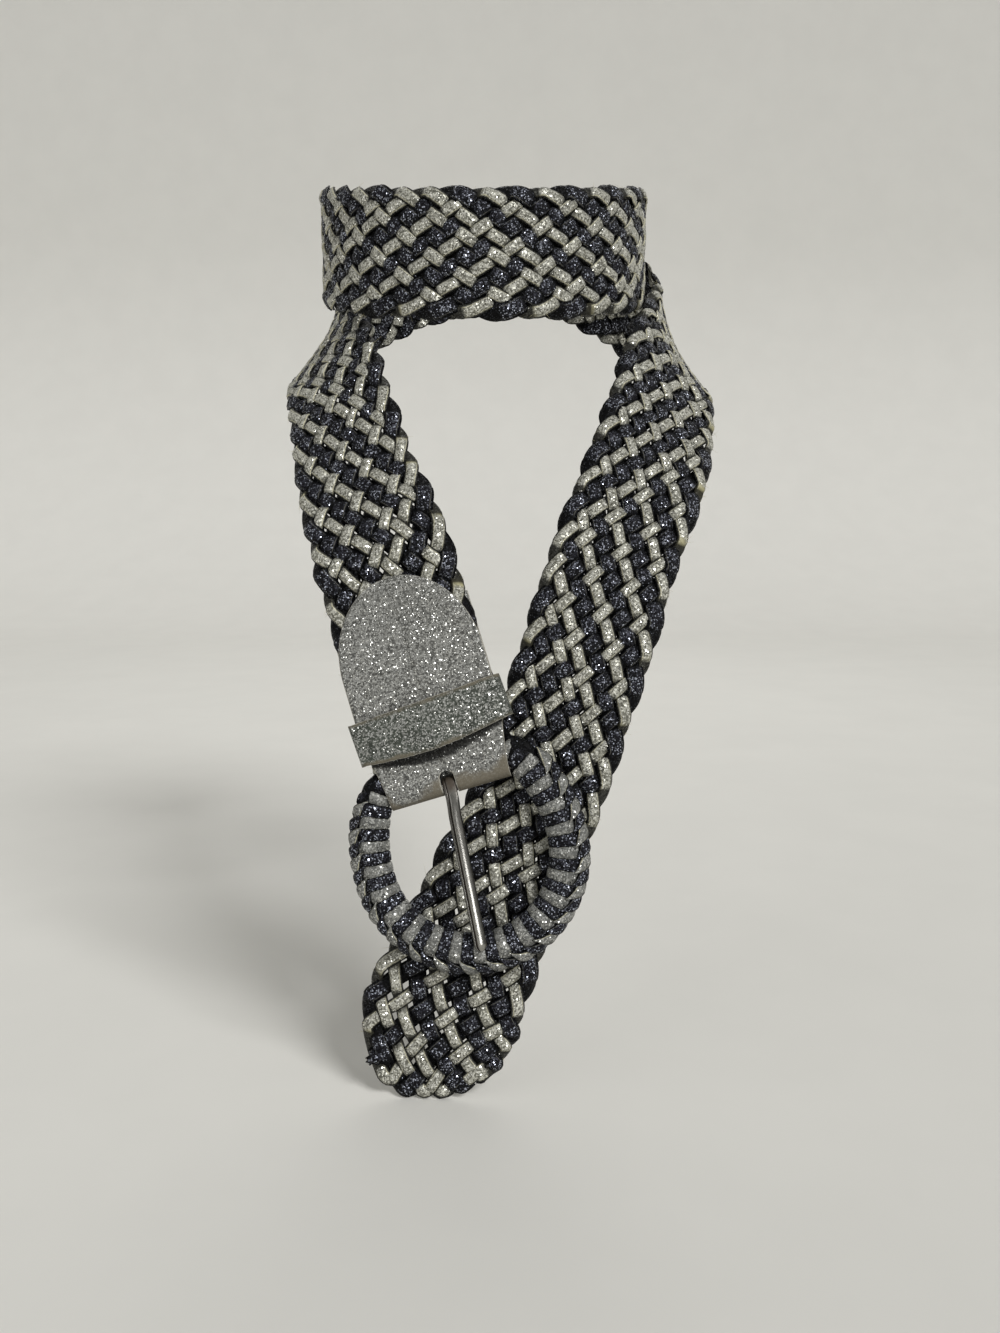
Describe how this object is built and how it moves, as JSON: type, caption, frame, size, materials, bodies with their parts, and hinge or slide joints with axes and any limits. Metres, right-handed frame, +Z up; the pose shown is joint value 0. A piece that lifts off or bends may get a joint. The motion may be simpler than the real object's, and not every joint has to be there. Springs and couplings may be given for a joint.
{
  "type": "braided belt",
  "caption": "Flat braided leather belt wound round the neck, with a folded leather tab, keeper loop, leather-wrapped ring buckle, hinged prong and rounded free end.",
  "frame": {"origin": "on the axis of the neck that the belt is worn on, level with the middle of the band at the throat", "axes": "+Z up along the neck, -Y the way the wearer's throat and the buckle face, +X to the right as seen from the front"},
  "size_m": [0.1902, 0.212, 0.3769],
  "materials": {
    "silver_strip": "champagne silver glitter leather, cut edges pale",
    "charcoal_strip": "charcoal glitter leather with bluish sparkle",
    "pale_cut_edge": "cream cut edge and frayed backing of the silver strips",
    "tab_glitter": "silver glitter leather, worn and slightly brown near the fold",
    "keeper_glitter": "silver glitter leather with frayed cut edges",
    "wrap_silver": "silver grey glitter leather wound on the ring",
    "wrap_charcoal": "charcoal glitter leather wound on the ring",
    "frame_steel": "plain steel wire, mostly hidden",
    "prong_steel": "polished steel, worn and slightly brown at the root"
  },
  "bodies": {
    "belt": {"braided_strap": "silver_strip", "end_tab": "tab_glitter", "keeper_loop": "keeper_glitter", "buckle_frame": "frame_steel", "frame_wrap": "wrap_charcoal"},
    "prong": {"prong": "prong_steel"}
  },
  "joints": [
    {"name": "prong_swing", "type": "hinge", "parent": "belt", "child": "prong", "pos_m": [-0.0127, -0.118, -0.201], "axis": [-0.9563, 0, -0.2924], "range_deg": [0, 100]}
  ]
}
